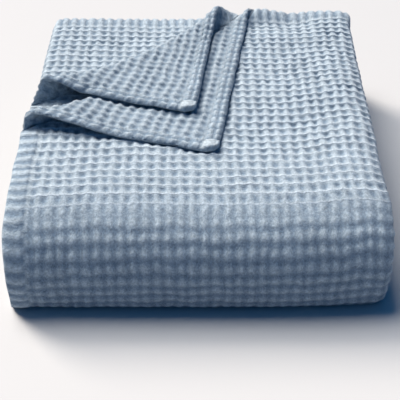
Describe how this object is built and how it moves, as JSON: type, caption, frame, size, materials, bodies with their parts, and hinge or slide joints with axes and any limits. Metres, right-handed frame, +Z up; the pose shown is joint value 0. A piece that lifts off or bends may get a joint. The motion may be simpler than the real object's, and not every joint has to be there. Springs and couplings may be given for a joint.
{
  "type": "folded waffle-weave cotton blanket",
  "caption": "Cotton blanket in a waffle weave, folded into a thick soft square with a rounded front roll, its hemmed back left corner turned back over the top.",
  "frame": {"origin": "on the floor, under the middle of the folded blanket's bounding box", "axes": "+X to the right seen from the front roll, +Y from the front roll to the open back hems, +Z up"},
  "size_m": [0.3824, 0.4438, 0.1321],
  "materials": {
    "cotton": "soft matt waffle-weave cotton, washed grey blue, with plain stitched hems"
  },
  "bodies": {
    "root": {"blanket": "cotton"}
  },
  "joints": []
}
